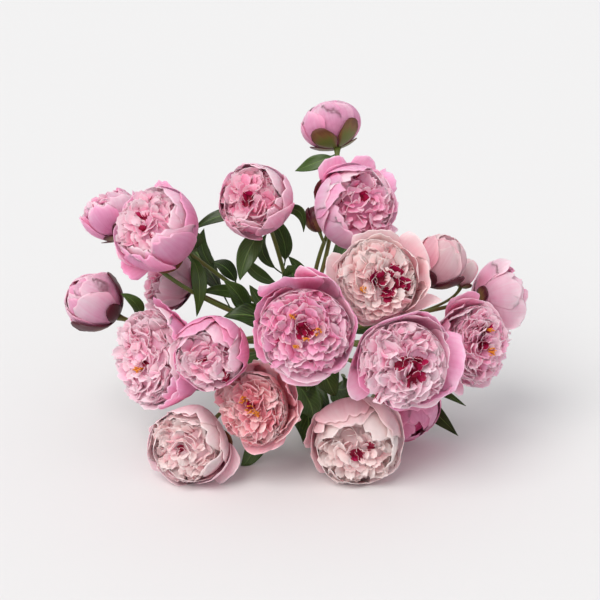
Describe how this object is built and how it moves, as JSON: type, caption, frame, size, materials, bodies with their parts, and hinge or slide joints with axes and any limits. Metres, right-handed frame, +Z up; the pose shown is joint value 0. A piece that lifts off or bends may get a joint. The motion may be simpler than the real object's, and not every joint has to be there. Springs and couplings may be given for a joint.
{
  "type": "bunch of peonies",
  "caption": "Hand-tied bunch of double pink peonies lying on its side: open flowers, half-open bowls and buds in front, leafy green stems bound with twine behind.",
  "frame": {"origin": "on the surface that the bunch lies on, under the middle of its bounding box", "axes": "+X across the bunch, +Y along the ground towards the cut ends of the stems, +Z up; the flowers face -Y"},
  "size_m": [0.535, 0.428, 0.3639],
  "materials": {
    "petal_pink": "soft matt pink petal, deeper at the folds",
    "petal_pale": "soft matt blush petal with a few crimson flecks",
    "petal_coral": "soft matt coral-pink petal",
    "leaf_green": "satin dark green leaf, stem and sepal, reddish in places",
    "stamen": "matt golden orange",
    "twine": "twisted natural fibre, rough"
  },
  "bodies": {
    "root": {"bloom_open_mid": "petal_pink", "bloom_open_pale": "petal_pale", "bloom_open_big": "petal_pink", "bloom_bowl_mid": "petal_pink", "bloom_open_coral": "petal_coral", "bloom_bowl_low": "petal_pale", "bloom_bowl_pale": "petal_pale", "bloom_open_left": "petal_pink", "bloom_open_right": "petal_pink", "bloom_bowl_right": "petal_pink", "bloom_bowl_top": "petal_pink", "bloom_bowl_left": "petal_pink", "bloom_bud_right": "petal_pale", "bloom_side_right": "petal_pink", "bloom_bud_left": "petal_pink", "bloom_side_left": "petal_pink", "bloom_under_left": "petal_pink", "bloom_under_right": "petal_pink", "bloom_bud_top": "petal_pink", "bloom_bud_small": "petal_pale", "stem_open_mid": "leaf_green", "stem_open_pale": "leaf_green", "stem_open_big": "leaf_green", "stem_bowl_mid": "leaf_green", "stem_open_coral": "leaf_green", "stem_bowl_low": "leaf_green", "stem_bowl_pale": "leaf_green", "stem_open_left": "leaf_green", "stem_open_right": "leaf_green", "stem_bowl_right": "leaf_green", "stem_bowl_top": "leaf_green", "stem_bowl_left": "leaf_green", "stem_bud_right": "leaf_green", "stem_side_right": "leaf_green", "stem_bud_left": "leaf_green", "stem_side_left": "leaf_green", "stem_under_left": "leaf_green", "stem_under_right": "leaf_green", "stem_bud_top": "leaf_green", "stamens_open_mid": "stamen", "stamens_open_coral": "stamen", "stamens_open_right": "stamen", "tie": "twine"}
  },
  "joints": []
}
